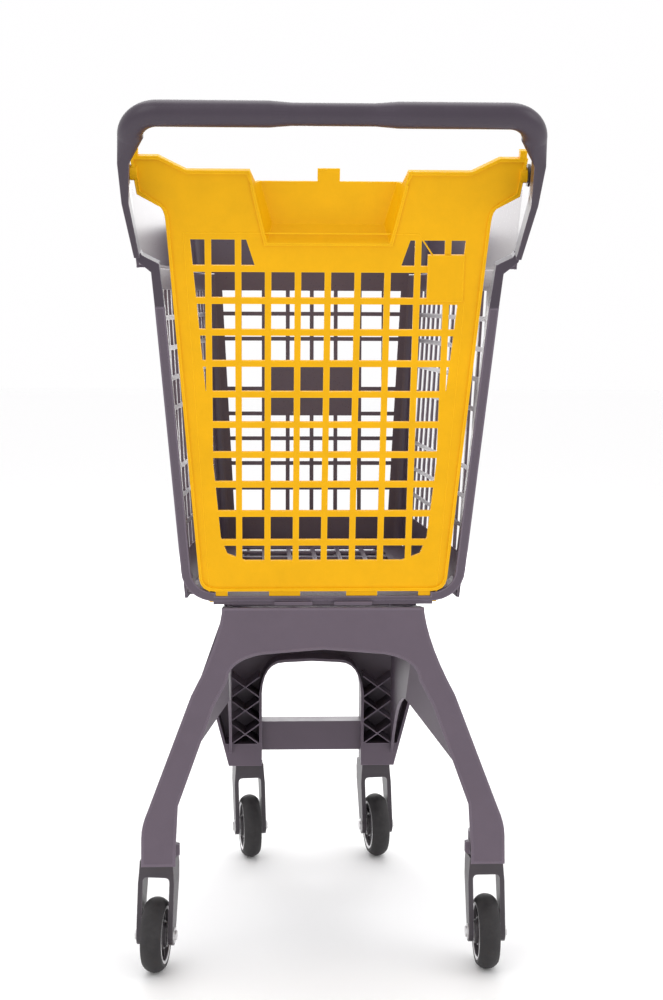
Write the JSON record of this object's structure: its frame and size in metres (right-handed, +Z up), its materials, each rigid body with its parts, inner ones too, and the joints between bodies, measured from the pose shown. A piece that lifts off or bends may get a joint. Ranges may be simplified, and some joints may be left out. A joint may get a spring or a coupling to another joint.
{
  "type": "shopping trolley",
  "caption": "Plastic shopping trolley: a perforated basket with a swinging rear flap and an arched handle, on a splayed base with swivel casters.",
  "frame": {"origin": "centre of the whole trolley's plan, on the ground under it", "axes": "+Z up, +Y the direction of travel, +X to the right as seen from the handle"},
  "size_m": [0.4751, 0.7732, 1.06],
  "materials": {
    "dark_plastic": "moulded, fine grain",
    "basket_plastic": "moulded, satin",
    "yellow_plastic": "moulded, satin",
    "black_plastic": "moulded",
    "fork_plastic": "moulded, satin",
    "hub_plastic": "moulded",
    "tyre_rubber": "smooth rubber",
    "steel": "zinc plated"
  },
  "bodies": {
    "trolley": {"base_rear_frame": "dark_plastic", "base_front_frame": "dark_plastic", "base_left_skirt": "dark_plastic", "base_right_skirt": "dark_plastic", "base_deck": "dark_plastic", "base_crossbar": "dark_plastic", "basket_clips": "dark_plastic", "basket_floor": "basket_plastic", "basket_left_wall": "basket_plastic", "basket_right_wall": "basket_plastic", "basket_front_wall": "basket_plastic", "basket_rear_rim": "basket_plastic", "handle_frame": "basket_plastic", "left_hinge_socket": "black_plastic", "right_hinge_socket": "black_plastic", "rear_left_swivel_bearing": "black_plastic", "rear_right_swivel_bearing": "black_plastic", "front_left_swivel_bearing": "black_plastic", "front_right_swivel_bearing": "black_plastic"},
    "flap": {"rear_flap": "yellow_plastic", "left_hinge_pin": "yellow_plastic", "right_hinge_pin": "yellow_plastic"},
    "rear_left_caster": {"rear_left_fork": "fork_plastic", "rear_left_kingpin": "steel", "rear_left_axle_bolt": "steel"},
    "rear_left_wheel": {"rear_left_wheel_bearings": "steel", "rear_left_wheel_hub": "hub_plastic", "rear_left_tyre": "tyre_rubber"},
    "rear_right_caster": {"rear_right_fork": "fork_plastic", "rear_right_kingpin": "steel", "rear_right_axle_bolt": "steel"},
    "rear_right_wheel": {"rear_right_wheel_bearings": "steel", "rear_right_wheel_hub": "hub_plastic", "rear_right_tyre": "tyre_rubber"},
    "front_left_caster": {"front_left_fork": "fork_plastic", "front_left_kingpin": "steel", "front_left_axle_bolt": "steel"},
    "front_left_wheel": {"front_left_wheel_bearings": "steel", "front_left_wheel_hub": "hub_plastic", "front_left_tyre": "tyre_rubber"},
    "front_right_caster": {"front_right_fork": "fork_plastic", "front_right_kingpin": "steel", "front_right_axle_bolt": "steel"},
    "front_right_wheel": {"front_right_wheel_bearings": "steel", "front_right_wheel_hub": "hub_plastic", "front_right_tyre": "tyre_rubber"}
  },
  "joints": [
    {"name": "flap_hinge", "type": "hinge", "parent": "trolley", "child": "flap", "pos_m": [0, -0.25537, 0.99], "axis": [1, 0, 0], "range_deg": [0, 75]},
    {"name": "rear_left_swivel", "type": "hinge", "parent": "trolley", "child": "rear_left_caster", "pos_m": [-0.2075, -0.12426, 0.142], "axis": [0, 0, 1], "continuous": true},
    {"name": "rear_left_roll", "type": "hinge", "parent": "rear_left_caster", "child": "rear_left_wheel", "pos_m": [-0.21084, -0.14803, 0.047], "axis": [0.9903, -0.1392, 0], "continuous": true},
    {"name": "rear_right_swivel", "type": "hinge", "parent": "trolley", "child": "rear_right_caster", "pos_m": [0.2075, -0.12426, 0.142], "axis": [0, 0, 1], "continuous": true},
    {"name": "rear_right_roll", "type": "hinge", "parent": "rear_right_caster", "child": "rear_right_wheel", "pos_m": [0.20792, -0.14826, 0.047], "axis": [0.9998, 0.0175, 0], "continuous": true},
    {"name": "front_left_swivel", "type": "hinge", "parent": "trolley", "child": "front_left_caster", "pos_m": [-0.096, 0.34374, 0.142], "axis": [0, 0, 1], "continuous": true},
    {"name": "front_left_roll", "type": "hinge", "parent": "front_left_caster", "child": "front_left_wheel", "pos_m": [-0.09308, 0.31992, 0.047], "axis": [0.9925, 0.1219, 0], "continuous": true},
    {"name": "front_right_swivel", "type": "hinge", "parent": "trolley", "child": "front_right_caster", "pos_m": [0.096, 0.34374, 0.142], "axis": [0, 0, 1], "continuous": true},
    {"name": "front_right_roll", "type": "hinge", "parent": "front_right_caster", "child": "front_right_wheel", "pos_m": [0.09934, 0.31997, 0.047], "axis": [0.9903, 0.1392, 0], "continuous": true}
  ]
}
